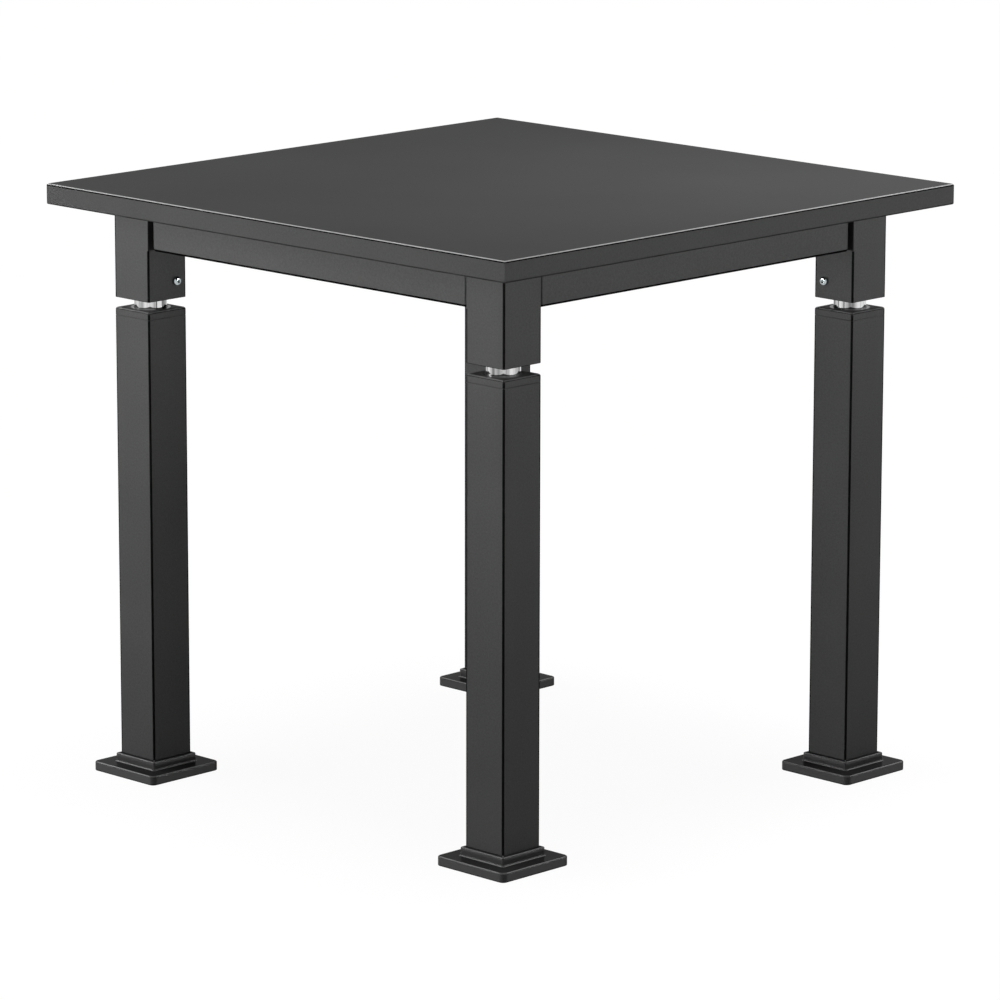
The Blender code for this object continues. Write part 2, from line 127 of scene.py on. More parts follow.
def view_angle(title, about, degrees):
    """An angle of the camera that a user may change."""
    return bpy.props.FloatProperty(
        name=title, description=about, default=math.radians(degrees), subtype="ANGLE"
    )


def colour(title, about, hex_colour):
    """A colour that a user may change."""
    return bpy.props.FloatVectorProperty(
        name=title, description=about, default=linear(hex_colour), min=0.0, max=1.0, subtype="COLOR"
    )


def share(title, about, default):
    """A factor from zero to one that a user may change."""
    return bpy.props.FloatProperty(
        name=title, description=about, default=default, min=0.0, max=1.0, subtype="FACTOR"
    )


class TableSizes(bpy.types.PropertyGroup):
    """Fine sizes that the frame's boxes don't give."""

    worktop_arris: length("Worktop arris", "Radius of the worktop's top edge", 0.0028)
    worktop_lip: length("Worktop lip", "Radius of the worktop's lower edge", 0.0018)
    tube_corner: length("Tube corner", "Outer corner radius of the square tubes", 0.001)
    # The strip beside each corner carries the same painted shade
    tube_shade_strip: length("Tube strip", "Width of the painted shade beside the tubes' corners", 0.0011)
    tube_bore_corner: length("Tube bore corner", "Inner corner radius of the square tubes", 0.001)
    tube_wall: length("Tube wall", "Wall of the square tubes", 0.003)
    tube_cut: length("Tube cut", "Radius left by deburring the tubes' cut ends", 0.0007)
    post_plate: length("Post plate", "Thickness of the plate in each post's top", 0.005)
    leg_plate: length("Leg plate", "Thickness of the plate in each leg's lower end", 0.006)
    apron_sheet: length("Apron sheet", "Sheet that the aprons are folded from", 0.0025)
    apron_fold: length("Apron fold", "Outer radius of the aprons' folds", 0.003)
    apron_end_gap: length("Apron end gap", "Open slot between an apron's end and the post", 0.0039)
    apron_tongue_inset: length("Apron tongue inset", "From an apron's outline in to its tongues", 0.006)
    column_wall: length("Column wall", "Wall of the chrome tubes", 0.002)
    column_cut: length("Column chamfer", "Chamfer at the chrome tubes' ends", 0.0008)
    collar_height: length("Collar height", "Visible height of the collar on each leg", 0.00955)
    collar_edge: length("Collar edge", "Radius of the collar's top edge", 0.003)
    collar_mouth: length("Collar mouth", "Radius of the edge round the collar's bore", 0.0006)
    wiper_ring: length("Wiper ring", "Width of the ring that the chrome tube's wiper polishes", 0.004)
    running_fit: length("Running fit", "Gap round the chrome tube and between seated pieces", 0.0003)
    foot_flange: length("Foot flange", "Height of the foot's flange", 0.0117)
    foot_sole: length("Foot sole", "Thickness of the foot under the leg", 0.005)
    foot_corner: length("Foot corner", "Corner radius of the foot's flange", 0.007)
    foot_edge: length("Foot edge", "Radius of the flange's top edge", 0.0018)
    foot_lower_edge: length("Foot lower edge", "Radius of the flange's lower edge", 0.0014)
    socket_wall: length("Socket wall", "Wall of the foot's socket round the leg", 0.0045)
    socket_corner: length("Socket corner", "Corner radius of the foot's socket", 0.0022)
    socket_fillet: length("Socket fillet", "Fillet between the flange and the socket", 0.0018)
    socket_slope: length("Socket slope", "How far the socket's top slopes down from the leg", 0.001)
    socket_rim: length("Socket rim", "Radius of the socket's top edge", 0.0016)
    screw_head: length("Screw head height", "Height of the domed screw heads", 0.004)
    screw_rim: length("Screw rim", "Straight edge round the screw heads", 0.0006)
    screw_shank: length("Screw shank", "Diameter of the screws' shanks", 0.006)
    hex_flats: length("Hexagon flats", "Width across the flats of the screws' sockets", 0.004)
    hex_depth: length("Hexagon depth", "Depth of the screws' sockets", 0.002)


class TableFinishes(bpy.types.PropertyGroup):
    """Colours and gloss of the finishes, with the painted shade, highlights and reflection on edges,
    corners and tops.
    """

    coat: colour("Powder coat", "Colour of the tubes and aprons", "#505050")
    coat_gloss: share("Powder coat roughness", "Roughness of the powder coat", 0.45)
    # Painted shade: the tubes' corners and the strips beside them are darkened
    corner: colour("Corners", "Colour of the painted shade on the tubes' corners", "#1c1c1c")
    # Painted shade: the aprons' lower folds are near black
    fold: colour("Folds", "Colour of the painted shade on the aprons' lower folds", "#0e0e0e")
    band: colour("Edge band", "Colour of the worktop's edge band", "#424242")
    # Painted shade: the edge band's lower edge is a little darker than the band
    lip: colour("Worktop lip", "Colour of the edge band's lower edge, darker as painted shade", "#404040")
    # Painted shade: a near-black line under the worktop's arris
    shade_under_arris: colour("Shade under arris", "Colour of the painted shade under the worktop's arris", "#0c0c0c")
    top: colour("Worktop", "Colour of the worktop", "#4c4c4c")
    top_gloss: share("Worktop roughness", "Roughness of the worktop", 0.6)
    # Painted highlight: a pale line along the worktop's top edge
    arris: colour("Arris", "Colour of the painted highlight on the worktop's top edge", "#a4a4a4")
    plastic: colour("Foot", "Colour of the feet's sides", "#505050")
    # Painted shade: the feet's level faces and lower edges are darker than their sides
    foot_top: colour("Foot top", "Colour of the painted shade on the feet's level faces and lower edges", "#2e2e2e")
    # Painted shade: the feet's round corners get a copy of the moulding with little mirror
    foot_corner: colour("Foot corners", "Colour of the painted shade on the feet's round corners", "#626262")
    # Painted highlight: pale lines on the feet's rims
    rim: colour("Foot rims", "Colour of the painted highlight on the feet's rims", "#7c7c7c")
    # Painted reflection: the collars' tops are lightened grey, and the wiper ring shares this tone
    collar: colour("Collar top", "Colour of the collars' tops, lightened as painted reflection", "#6a6a6a")
    # Painted highlight: a pale line on the collars' top edges
    collar_highlight_tone: colour("Collar rim", "Colour of the painted highlight on the collars' top edges", "#909090")
    plastic_gloss: share("Plastic roughness", "Roughness of the feet and the collars' tops", 0.12)
    # The chrome tubes' light and dark streaks, drawn from this tone, are painted reflections
    chrome: colour("Chrome", "Colour of the chrome tubes", "#dcdcdc")
    zinc: colour("Zinc plate", "Colour of the screws", "#bcc6c8")
    aluminium: colour("Cast aluminium", "Colour of the column heads", "#bcbec0")
    steel: colour("Drawn steel", "Colour of the spindles and push tubes", "#a5a5a8")
    acetal: colour("Acetal", "Colour of the glide rings and nuts", "#d9d8d2")
    enamel: colour("Motor enamel", "Colour of the drive motors", "#303134")


class StageSettings(bpy.types.PropertyGroup):
    """The camera and the studio's even light."""

    lens: bpy.props.FloatProperty(
        name="Lens", description="Focal length on a 36 mm sensor", default=198.66, min=1.0, unit="CAMERA"
    )
    azimuth: view_angle("Azimuth", "Camera's turn from the front", 44.513)
    elevation: view_angle("Elevation", "Camera's height angle", 12.332)
    roll: view_angle("Roll", "Camera's tilt in the picture", 0.102)
    distance: length("Distance", "From the camera to the worktop's middle, along the view", 6.62127)
    drop: length("Drop", "How far the view's middle lies under the worktop's middle", 0.38005)
    offset: length("Offset", "How far the view's middle lies left of the worktop's middle", 0.00078)
    ambient: share("Ambient", "Even light from all round", 0.02)


def sizes():
    """The sizes that are set in the panel."""
    return bpy.context.scene.table_sizes


def finishes():
    """The finishes that are set in the panel."""
    return bpy.context.scene.table_finishes


# Outlines, meshes and tests that the shapes are made with

def leg_axis(corner):
    """The foot of a leg's axis, on the floor."""
    low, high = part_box(f"upper_post_{corner}")
    return Vector(((low.x + high.x) / 2, (low.y + high.y) / 2, 0))


def corner_box(piece):
    """A corner piece's lowest and highest points, from its leg's axis and in its own axes."""
    low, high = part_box(f"{piece}_{MODEL_CORNER}")
    axis = leg_axis(MODEL_CORNER)
    return low - axis, high - axis


def rounded_square(half, radius, height, steps, strip=0.0):
    """Points round a square with an arc at each corner, and with a strip's width beside each arc."""
    reach = half - radius
    arc_steps = steps - STRIP_POINTS if strip else steps
    quarter = []
    for step in range(arc_steps):
        angle = step / (arc_steps - 1) * QUARTER
        x = reach + radius * math.cos(angle)
        y = reach + radius * math.sin(angle)
        quarter.append(Vector((x, y, height)))
    if strip:
        quarter.insert(0, Vector((half, reach - strip, height)))
        quarter.append(Vector((reach - strip, half, height)))
    turns = [Matrix.Rotation(index * QUARTER, 3, "Z") for index in range(4)]
    return [turn @ point for turn in turns for point in quarter]


def tube_outline(half, corner, height, steps=TUBE_STEPS):
    """Points round a square tube or its bore."""
    return rounded_square(half, corner, height, steps, sizes().tube_shade_strip)


def circle(radius, height, steps):
    """Points round a circle, as many as a rounded square has."""
    count = 4 * steps
    angles = [(index + 0.5) * math.tau / count for index in range(count)]
    return [Vector((radius * math.cos(a), radius * math.sin(a), height)) for a in angles]


def hexagon(flats, height, steps):
    """Points round a hexagon, as many as a rounded square has."""
    side = math.pi / 3
    points = []
    for point in circle(1.0, height, steps):
        angle = math.atan2(point.y, point.x)
        off_middle = (angle + side / 2) % side - side / 2
        radius = flats / 2 / math.cos(off_middle)
        points.append(Vector((radius * math.cos(angle), radius * math.sin(angle), height)))
    return points


def edge_steps(radius, concave=False):
    """How far out and down each step of a rounded edge is, from a level face to an upright one."""
    offsets = []
    for index in range(EDGE_STEPS + 1):
        angle = index / EDGE_STEPS * QUARTER
        if concave:
            offsets.append((radius * (1 - math.cos(angle)), radius * math.sin(angle)))
        else:
            offsets.append((radius * (math.sin(angle) - 1), radius * (1 - math.cos(angle))))
    return offsets


def square_edge(half, corner, height, radius, steps, concave=False, strip=0.0):
    """Square outlines down a rounded edge that starts at that height."""
    return [
        rounded_square(half + out, max(corner + out, radius / EDGE_STEPS), height - down, steps, strip)
        for out, down in edge_steps(radius, concave)
    ]


def sweep(outlines, ring=False):
    """Extrudes a face from outline to outline, and fills both ends or closes the ring."""
    bm = bmesh.new()
    bmesh.ops.create_circle(bm, cap_ends=True, segments=len(outlines[0]), radius=1.0)
    (face,) = bm.faces
    lay(face, outlines[0])
    rim = face.edges[:]
    for outline in [*outlines[1:], *outlines[: int(ring)]]:
        face = bmesh.ops.extrude_discrete_faces(bm, faces=[face])["faces"][0]
        lay(face, outline)
    if ring:
        bmesh.ops.delete(bm, geom=[face], context="FACES_ONLY")
        bmesh.ops.remove_doubles(bm, verts=bm.verts, dist=WELD)
    else:
        bmesh.ops.contextual_create(bm, geom=rim)
    bmesh.ops.recalc_face_normals(bm, faces=bm.faces)
    return bm


def lay(face, outline):
    """Moves a face's corners onto an outline."""
    for corner, point in zip(face.verts, outline):
        corner.co = point


def slab(low, high):
    """A box between two corners."""
    bm = bmesh.new()
    bmesh.ops.create_cube(bm, size=1.0)
    bmesh.ops.scale(bm, verts=bm.verts, vec=high - low)
    bmesh.ops.translate(bm, verts=bm.verts, vec=(low + high) / 2)
    return bm


def round_off(bm, edges, radius):
    """Rounds edges of a box."""
    bmesh.ops.bevel(
        bm, geom=edges, offset=radius, affect="EDGES", segments=EDGE_STEPS, profile=0.5, material=-1
    )


def mark(bm, index, chosen):
    """Gives a material of their own to the faces that pass a test."""
    bm.normal_update()
    for face in bm.faces:
        if chosen(face):
            face.material_index = index


def is_upright(face):
    """True on upright faces."""
    return abs(face.normal.z) < 1 - LEVEL


def is_lower_edge(face):
    """True on rounded edges that look down, but not straight down."""
    return 1 - LEVEL < -face.normal.z < LEVEL


def is_round_corner(face):
    """True on rounded corners, which face between X and Y."""
    return min(abs(face.normal.x), abs(face.normal.y)) > 1 - LEVEL


def is_rounded(face):
    """True on rounded edges and corners, which point along no axis."""
    return max(abs(part) for part in face.normal) < LEVEL


def slopes(low, high):
    """A test for faces that look up by between two amounts: zero is upright, one is level."""
    return lambda face: low < face.normal.z < high


def beside_corner(half):
    """A test for a square tube's corners and the flat strips beside them, which get the painted shade."""
    inner = half - sizes().tube_corner - sizes().tube_shade_strip

    def is_beside(face):
        middle = face.calc_center_median()
        return is_upright(face) and min(abs(middle.x), abs(middle.y)) > inner

    return is_beside


def piece(name, bm, materials, *nodes):
    """Makes a finished piece that stands for these nodes of the frame and moves with them."""
    mesh = bpy.data.meshes.new(name)
    bm.to_mesh(mesh)
    bm.free()
    mesh.shade_smooth()
    mesh.set_sharp_from_angle(angle=SMOOTH_BELOW)
    for material in materials:
        mesh.materials.append(material)
    made = bpy.data.objects.new(name, mesh)
    bpy.context.scene.collection.objects.link(made)
    even = made.modifiers.new("Even shading", "WEIGHTED_NORMAL")
    even.keep_sharp = True
    even.weight = FACE_WEIGHT
    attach(made, frame["nodes"][nodes[0]]["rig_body"])
    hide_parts(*nodes)


def at_each_corner(name, make, materials, node):
    """Makes a corner piece for all four legs, each turned about its own axis."""
    for corner, quarter in CORNERS.items():
        bm = make()
        turn = Matrix.Translation(leg_axis(corner)) @ Matrix.Rotation(quarter * QUARTER, 4, "Z")
        bmesh.ops.transform(bm, matrix=turn, verts=bm.verts)
        piece(f"{name}_{corner}", bm, materials, f"{node}_{corner}")


# Shapes of the pieces

# Places of the materials on the worktop, on the tubes and aprons, on the collars and on the feet, several
# of them painted shade, painted highlights and a painted reflection; faces that aren't marked have place
# zero
BAND, ARRIS_HIGHLIGHT, TOP_EDGE_SHADE, LIP_SHADE = range(1, 5)
SKIN, PAINTED_SHADE = range(2)
COLLAR_SHADE, COLLAR_TOP, COLLAR_HIGHLIGHT, COLLAR_RING = range(1, 5)
FOOT_SHADE, FOOT_SIDE, FOOT_HIGHLIGHT, FOOT_ROUND_SHADE = range(4)

# How far a rounded edge looks up where it changes from one material to the next: the bands of painted
# shade and painted highlight
ARRIS_LOW_SLOPE = 0.5
ARRIS_HIGH_SLOPE = 0.9
COLLAR_LINE_LOW_SLOPE = 0.25
COLLAR_RIM_LOW_SLOPE = 0.5
COLLAR_RIM_HIGH_SLOPE = 0.9
FOOT_LINE_LOW_SLOPE = 0.25
FOOT_RIM_LOW_SLOPE = 0.5
FOOT_RIM_HIGH_SLOPE = 0.95


def slab_shape():
    """The worktop: a board with an edge band, sharp upright corners and rounded top and bottom edges."""
    bm = slab(*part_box("worktop"))
    for radius, normal_z in ((sizes().worktop_arris, 1), (sizes().worktop_lip, -1)):
        (level,) = [face for face in bm.faces if face.normal.z * normal_z > LEVEL]
        round_off(bm, level.edges[:], radius)
        bm.normal_update()
    mark(bm, BAND, is_upright)
    # Painted shade on the lower edge
    mark(bm, LIP_SHADE, is_lower_edge)
    # Painted shade on the lower part of the top edge
    mark(bm, TOP_EDGE_SHADE, slopes(1 - LEVEL, ARRIS_LOW_SLOPE))
    # Painted highlight on the upper part of the top edge
    mark(bm, ARRIS_HIGHLIGHT, slopes(ARRIS_LOW_SLOPE, ARRIS_HIGH_SLOPE))
    return bm


def apron_shape(width, depth, height):
    """A folded channel about its own middle, open at +Y, with a tongue at each end."""
    s = sizes()
    half = Vector((width / 2 - s.apron_end_gap + s.running_fit, depth / 2, height / 2))
    bm = slab(-half, half)
    ends = [face for face in bm.faces if abs(face.normal.x) > FACING]
    back = [face for face in bm.faces if face.normal.y > FACING]
    folds = [edge for edge in bm.edges if min(corner.co.y for corner in edge.verts) < 0]
    bmesh.ops.inset_individual(bm, faces=ends, thickness=s.apron_tongue_inset)
    for end in ends:
        tongue = bmesh.ops.extrude_discrete_faces(bm, faces=[end])["faces"][0]
        outward = math.copysign(s.apron_end_gap - s.running_fit, tongue.calc_center_median().x)
        bmesh.ops.translate(bm, verts=tongue.verts, vec=(outward, 0, 0))
    bmesh.ops.inset_individual(bm, faces=back, thickness=s.apron_sheet)
    channel = bmesh.ops.extrude_discrete_faces(bm, faces=back)["faces"][0]
    bmesh.ops.translate(bm, verts=channel.verts, vec=(0, s.apron_sheet - depth, 0))
    round_off(bm, folds, s.apron_fold)
    # The lower folds get painted shade
    mark(bm, PAINTED_SHADE, is_lower_edge)
    return bm


def post_shape():
    """Square tube with a plate in its top and deburred lower edges."""
    s = sizes()
    low, high = corner_box("upper_post")
    half = high.x
    bore = half - s.tube_wall
    apron_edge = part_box("apron_front")[0].z
    cut = reversed(edge_steps(s.tube_cut))
    outlines = [
        tube_outline(half, s.tube_corner, high.z),
        tube_outline(half, s.tube_corner, apron_edge),
        *(tube_outline(half + out, s.tube_corner, low.z + up) for out, up in cut),
        tube_outline(bore, s.tube_bore_corner, low.z),
        tube_outline(bore, s.tube_bore_corner, high.z - s.post_plate),
    ]
    bm = sweep(outlines)

    def meets_apron(face):
        """True beside the two corners where aprons meet the post, which get no painted shade."""
        middle = face.calc_center_median()
        return middle.z > apron_edge and middle.x * middle.y < 0

    # The rounded corners and edges, and the strips beside the corners, get painted shade, except beside
    # the aprons
    mark(bm, PAINTED_SHADE, is_rounded)
    mark(bm, PAINTED_SHADE, beside_corner(half))
    mark(bm, SKIN, meets_apron)
    return bm


def leg_shape():
    """Square tube with a plate in its lower end and a deburred top."""
    s = sizes()
    low, high = corner_box("lower_leg")
    half = high.x
    bore = half - s.tube_wall
    outlines = [
        tube_outline(bore, s.tube_bore_corner, low.z + s.leg_plate),
        tube_outline(bore, s.tube_bore_corner, high.z),
        *square_edge(half, s.tube_corner, high.z, s.tube_cut, TUBE_STEPS, strip=s.tube_shade_strip),
        tube_outline(half, s.tube_corner, low.z),
    ]
    bm = sweep(outlines)
    # The round corners and the strips beside them get painted shade
    mark(bm, PAINTED_SHADE, is_round_corner)
    mark(bm, PAINTED_SHADE, beside_corner(half))
    return bm


def collar_shape():
    """Moulded collar on the leg's top: a bore round the chrome tube, and a skirt inside the leg."""
    s = sizes()
    low, high = corner_box("leg_cap")
    column = corner_box("inner_tube")[1].x
    half = high.x
    seam = high.z - s.collar_height
    skirt = half - s.tube_wall - s.running_fit
    bore = column + s.running_fit
    ring = bore + s.wiper_ring
    mouth = reversed(edge_steps(s.collar_mouth))
    outlines = [
        circle(bore, low.z, COLUMN_STEPS),
        *(circle(bore - out, high.z - down, COLUMN_STEPS) for out, down in mouth),
        circle(ring, high.z, COLUMN_STEPS),
        *square_edge(half, s.tube_corner, high.z, s.collar_edge, COLUMN_STEPS, strip=s.tube_shade_strip),
        tube_outline(half, s.tube_corner, seam, COLUMN_STEPS),
        tube_outline(skirt, s.tube_bore_corner, seam, COLUMN_STEPS),
        tube_outline(skirt, s.tube_bore_corner, low.z, COLUMN_STEPS),
    ]
    bm = sweep(outlines, ring=True)
    # Painted highlight on the upper part of the top edge
    mark(bm, COLLAR_HIGHLIGHT, slopes(COLLAR_RIM_LOW_SLOPE, COLLAR_RIM_HIGH_SLOPE))
    # Painted shade below it, on the round corners and on the strips beside them
    mark(bm, COLLAR_SHADE, slopes(COLLAR_LINE_LOW_SLOPE, COLLAR_RIM_LOW_SLOPE))
    mark(bm, COLLAR_SHADE, is_round_corner)
    mark(bm, COLLAR_SHADE, beside_corner(half))
    # Painted reflection on the top
    mark(bm, COLLAR_TOP, slopes(COLLAR_RIM_HIGH_SLOPE, math.inf))
    mark(bm, COLLAR_RING, lambda face: face.normal.z > 0 and face.calc_center_median().xy.length < ring)
    return bm


def column_shape():
    """Chrome tube with chamfered ends."""
    s = sizes()
    low, high = corner_box("inner_tube")
    radius = high.x
    bore = radius - s.column_wall
    outlines = [
        circle(bore, high.z, COLUMN_STEPS),
        circle(radius - s.column_cut, high.z, COLUMN_STEPS),
        circle(radius, high.z - s.column_cut, COLUMN_STEPS),
        circle(radius, low.z + s.column_cut, COLUMN_STEPS),
        circle(radius - s.column_cut, low.z, COLUMN_STEPS),
        circle(bore, low.z, COLUMN_STEPS),
    ]
    return sweep(outlines, ring=True)


def foot_shape():
    """Square flange with round corners, and a socket for the leg with a fillet at its base."""
    s = sizes()
    low, high = corner_box("foot")
    half = high.x
    pocket = corner_box("lower_leg")[1].x + s.running_fit
    pocket_corner = s.tube_corner + s.running_fit
    socket = pocket + s.socket_wall
    fillet_top = s.foot_flange + s.socket_fillet
    steps = FOOT_STEPS
    lower_edge = [
        rounded_square(half + out, s.foot_corner + out, low.z + up, steps)
        for out, up in reversed(edge_steps(s.foot_lower_edge))
    ]
    outlines = [
        rounded_square(pocket, pocket_corner, s.foot_sole, steps),
        rounded_square(pocket, pocket_corner, high.z, steps),
        *square_edge(socket, s.socket_corner, high.z - s.socket_slope, s.socket_rim, steps),
        *square_edge(socket, s.socket_corner, fillet_top, s.socket_fillet, steps, concave=True),
        *square_edge(half, s.foot_corner, s.foot_flange, s.foot_edge, steps),
        *lower_edge,
    ]
    bm = sweep(outlines)
    # Faces left unmarked get painted shade: level faces, downward faces and a line below each rim
    mark(bm, FOOT_SIDE, slopes(LEVEL - 1, FOOT_LINE_LOW_SLOPE))
    # Painted highlights on the rims
    mark(bm, FOOT_HIGHLIGHT, slopes(FOOT_RIM_LOW_SLOPE, FOOT_RIM_HIGH_SLOPE))
    # Painted shade next to the leg
    mark(bm, FOOT_SHADE, lambda face: max(corner.co.z for corner in face.verts) > high.z - s.running_fit)
    # Painted shade on the round corners, which stops the rims' highlights there
    mark(bm, FOOT_ROUND_SHADE, is_round_corner)
    # Painted shade on the lower edges
    mark(bm, FOOT_SHADE, is_lower_edge)
    return bm


def screw_shape(length_below):
    """Domed screw about Z: the head's underside is at zero and the shank below it."""
    s = sizes()
    low, high = corner_box("post_screw_1")
    head = (high.z - low.z) / 2
    crown = s.hex_flats / math.sqrt(3) + s.screw_rim
    lead = s.screw_rim / 2
    dome = []
    for index in range(EDGE_STEPS + 1):
        angle = index / EDGE_STEPS * QUARTER
        radius = crown + (head - crown) * math.sin(angle)
        rise = s.screw_rim + (s.screw_head - s.screw_rim) * math.cos(angle)
        dome.append(circle(radius, rise, SCREW_STEPS))
    shank = s.screw_shank / 2
    outlines = [
        hexagon(s.hex_flats, s.screw_head - s.hex_depth, SCREW_STEPS),
        hexagon(s.hex_flats, s.screw_head - lead, SCREW_STEPS),
        hexagon(s.hex_flats + lead, s.screw_head, SCREW_STEPS),
        *dome,
        circle(head, 0, SCREW_STEPS),
        circle(shank, 0, SCREW_STEPS),
        circle(shank, lead - length_below, SCREW_STEPS),
        circle(shank - lead, -length_below, SCREW_STEPS),
    ]
    return sweep(outlines)


def seated_screw(seat, length_below):
    """A screw, turned and moved onto its seat on the post."""
    bm = screw_shape(length_below)
    bmesh.ops.transform(bm, matrix=seat, verts=bm.verts)
    return bm


# Materials

# Widths of the patterns in millimetres. The pebbles, the grain, the press marks and the tool marks on
# metals are really about 0.5 mm wide or less: they are drawn wider, to show from across a room. The
# chrome's streaks are painted reflections.
MM_PER_METRE = 1000
COAT_PEBBLE = 2.2
THIN_COAT_PEBBLE = 1.2
BAND_GRAIN = 2.5
DRIFT = 140
PRESS_MARK = 1.5
CLOUD = 220
MOULD_RIPPLE = 9

# The wide pattern's share of the tone; the fine pattern has the rest
DRIFT_SHARE = 0.5
CLOUD_SHARE = 0.6

# Places of the Mix node's sockets for plain numbers
MIX_SHARE, MIX_FIRST, MIX_SECOND = 0, 2, 3

# Heights of the relief, in metres
FINE_RELIEF = 0.0001
RIPPLE_RELIEF = 0.0002

# Where a noise's values reach the ends of a range of tones
NOISE_SPAN = (0.3, 0.7)
STREAK_SPAN = (0.35, 0.65)
WHOLE_SPAN = (0.0, 1.0)

# How far tones swing about their middle, and how much darker mottled spots are, as shares of the tone
SATIN_TONE_SWING = 0.2
BOARD_TONE_SWING = 0.05
MOULD_TONE_SWING = 0.1
MOTTLE_SHADE = 0.12

# How far roughness swings about its middle: on satin skins and the board, and elsewhere as a share of it
SATIN_GLOSS_SWING = 0.04
BOARD_GLOSS_SWING = 0.05
GLOSS_SHARE = 0.2


def add(tree, kind, inputs=(), **settings):
    """One shader node: its settings, then each input set to a value or linked from an output."""
    node = tree.nodes.new(kind)
    for name, value in settings.items():
        setattr(node, name, value)
    for socket, value in dict(inputs).items():
        if isinstance(value, bpy.types.NodeSocket):
            tree.links.new(value, node.inputs[socket])
        else:
            node.inputs[socket].default_value = value
    return node


def grains(millimetres):
    """The texture scale that gives grains of that size on coordinates in metres."""
    return MM_PER_METRE / millimetres


def surface(name, **values):
    """A new material with its shader's sockets set; also its tree, shader and object coordinates."""
    material = bpy.data.materials.new(name)
    material.use_nodes = True
    tree = material.node_tree
    shader = tree.nodes["Principled BSDF"]
    for socket, value in values.items():
        shader.inputs[socket.replace("_", " ")].default_value = value
    place = add(tree, "ShaderNodeTexCoord").outputs["Object"]
    return material, tree, shader, place


def wire(tree, shader, **nodes):
    """Links the first output of each node to the shader's socket of that name."""
    for socket, node in nodes.items():
        tree.links.new(node.outputs[0], shader.inputs[socket.replace("_", " ")])


def shaded(colour_value, factor):
    """A colour made darker or lighter by a factor."""
    return (*(channel * factor for channel in colour_value), 1.0)


def set_tones(ramp, span, *tones):
    """Gives a colour ramp's two ends their places and tones."""
    for end, place, tone in zip(ramp.color_ramp.elements, span, tones):
        end.position = place
        end.color = tone


def around(middle, swing):
    """The ends of a range about its middle."""
    return {"To Min": middle - swing, "To Max": middle + swing}


def satin(name, tone, roughness, level, grain, relief):
    """A dull, finely grained skin: the grain's width in millimetres, and how strongly it stands out."""
    material, tree, shader, place = surface(name, Specular_IOR_Level=level)
    pebble = add(tree, "ShaderNodeTexNoise", {"Vector": place, "Scale": grains(grain), "Detail": 2.0})
    drift = add(tree, "ShaderNodeTexNoise", {"Vector": place, "Scale": grains(DRIFT), "Detail": 1.0})
    patterns = {MIX_FIRST: pebble.outputs["Fac"], MIX_SECOND: drift.outputs["Fac"]}
    both = add(tree, "ShaderNodeMix", {MIX_SHARE: DRIFT_SHARE, **patterns})
    tint = add(tree, "ShaderNodeValToRGB", {"Fac": both.outputs[0]})
    set_tones(tint, NOISE_SPAN, shaded(tone, 1 - SATIN_TONE_SWING), shaded(tone, 1 + SATIN_TONE_SWING))
    swing = around(roughness, SATIN_GLOSS_SWING)
    gloss = add(tree, "ShaderNodeMapRange", {"Value": drift.outputs["Fac"], **swing})
    bump_inputs = {"Height": pebble.outputs["Fac"], "Strength": relief, "Distance": FINE_RELIEF}
    bump = add(tree, "ShaderNodeBump", bump_inputs)
    wire(tree, shader, Base_Color=tint, Roughness=gloss, Normal=bump)
    return material


def powder_coat():
    """Polyester powder coat, sprayed and baked: a dull sheen over a fine pebbled skin."""
    f = finishes()
    name = "Polyester powder coat, baked"
    return satin(name, f.coat, f.coat_gloss, level=0.08, grain=COAT_PEBBLE, relief=0.25)


def painted_edge_shade():
    """The coat on corners and edges, darkened to a fine dark line: painted shade."""
    f = finishes()
    name = "Polyester powder coat, painted shade on edges"
    return satin(name, f.corner, f.coat_gloss, level=0.0, grain=THIN_COAT_PEBBLE, relief=0.1)


def painted_fold_shade():
    """The coat on the aprons' lower folds, near black: painted shade as a bold dark line."""
    f = finishes()
    name = "Polyester powder coat, painted shade on folds"
    return satin(name, f.fold, f.coat_gloss, level=0.0, grain=THIN_COAT_PEBBLE, relief=0.1)


def edge_band():
    """ABS edge band, extruded and glued on: as dull as the coat, and a little darker and smoother."""
    f = finishes()
    name = "ABS edge band, extruded"
    return satin(name, f.band, f.coat_gloss, level=0.08, grain=BAND_GRAIN, relief=0.12)


def band_lip():
    """The edge band's lower edge, duller than its face and a little darker: the darker tone is painted
    shade.
    """
    f = finishes()
    name = "ABS edge band, lower edge with painted shade"
    return satin(name, f.lip, f.coat_gloss, level=0.0, grain=BAND_GRAIN, relief=0.1)


def painted_arris_shade():
    """A near-black matt line under the arris: painted shade."""
    f = finishes()
    name = "Painted shade under the arris"
    return satin(name, f.shade_under_arris, f.coat_gloss, level=0.0, grain=BAND_GRAIN, relief=0.1)


def painted_arris_highlight():
    """The edge band's top corner in a pale tone: a painted highlight as a light line."""
    name = "ABS edge band, painted highlight on the arris"
    return satin(name, finishes().arris, roughness=0.25, level=0.3, grain=BAND_GRAIN, relief=0.05)


